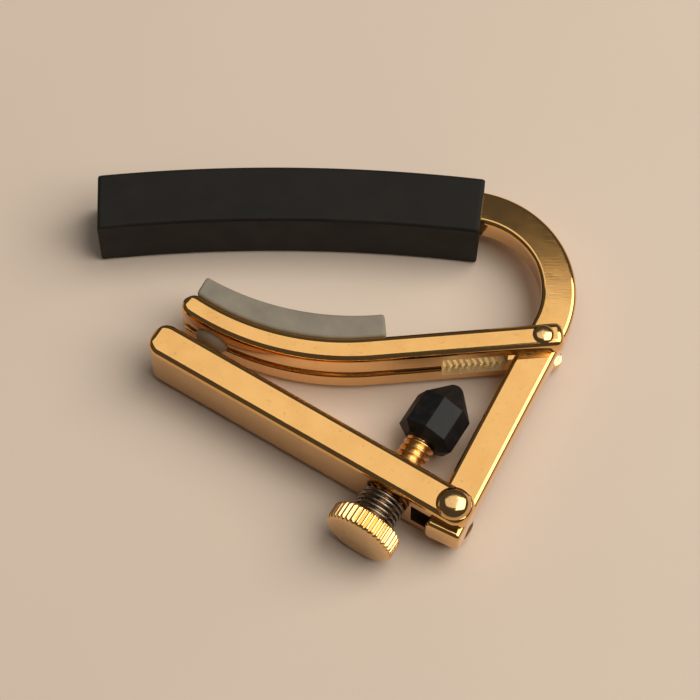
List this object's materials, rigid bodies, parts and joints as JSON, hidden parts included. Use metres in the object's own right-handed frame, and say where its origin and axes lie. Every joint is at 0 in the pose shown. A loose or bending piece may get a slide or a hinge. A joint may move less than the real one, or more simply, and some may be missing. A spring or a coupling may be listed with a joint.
{
  "type": "guitar capo",
  "caption": "Lever-action guitar capo: bowed rubber-sleeved string bar, hinged padded neck arm, and an over-centre lever with an adjusting screw.",
  "frame": {"origin": "bottom centre of the bounding box as it lies on its side", "axes": "+Z along the rivets (along the guitar's neck in use); +X away from the hook's open mouth, along the string bar; +Y from the lever to the string bar"},
  "size_m": [0.0738, 0.0628, 0.0121],
  "materials": {
    "brass_bar": "polished and lacquered bar stock",
    "brass_turned": "turned, knurled and threaded",
    "rivet_brass": "polished rivet heads",
    "black_rubber": "matte extruded rubber",
    "grey_rubber": "matte moulded rubber",
    "spring_steel": "drawn spring wire",
    "black_plastic": "satin moulded plastic"
  },
  "bodies": {
    "frame": {"frame_bar": "brass_bar", "string_sleeve": "black_rubber", "arm_rivet": "rivet_brass", "lever_rivet": "rivet_brass"},
    "arm": {"neck_arm": "brass_bar", "neck_pad": "grey_rubber"},
    "lever": {"lever": "brass_bar", "tension_spring": "spring_steel"},
    "tip_carriage": {"screw_tip": "black_plastic"},
    "screw": {"adjusting_screw": "brass_turned", "knob": "brass_turned"}
  },
  "joints": [
    {"name": "lever_pivot", "type": "hinge", "parent": "frame", "child": "lever", "pos_m": [0.01748, -0.02483, 0.00565], "axis": [0, 0, 1], "range_deg": [0, 100]},
    {"name": "arm_pivot", "type": "hinge", "parent": "frame", "child": "arm", "pos_m": [0.03142, 0.00281, 0.00565], "axis": [0, 0, 1], "range_deg": [-10.5, 18.1]},
    {"name": "screw_travel", "type": "slide", "parent": "lever", "child": "tip_carriage", "axis": [0.527, 0.8499, 0], "range_m": [-0.003, 0.0008], "deforming": ["tension_spring"]},
    {"name": "knob_turn", "type": "hinge", "parent": "tip_carriage", "child": "screw", "pos_m": [0.00889, -0.0195, 0.00565], "axis": [0.527, 0.8499, 0], "range_deg": [-1020.6, 272.2]}
  ],
  "couplings": [
    {"joint": "arm_pivot", "follows": "lever_pivot", "ratio": 0.18},
    {"joint": "knob_turn", "follows": "screw_travel", "rad_per_m": 5936.9}
  ]
}
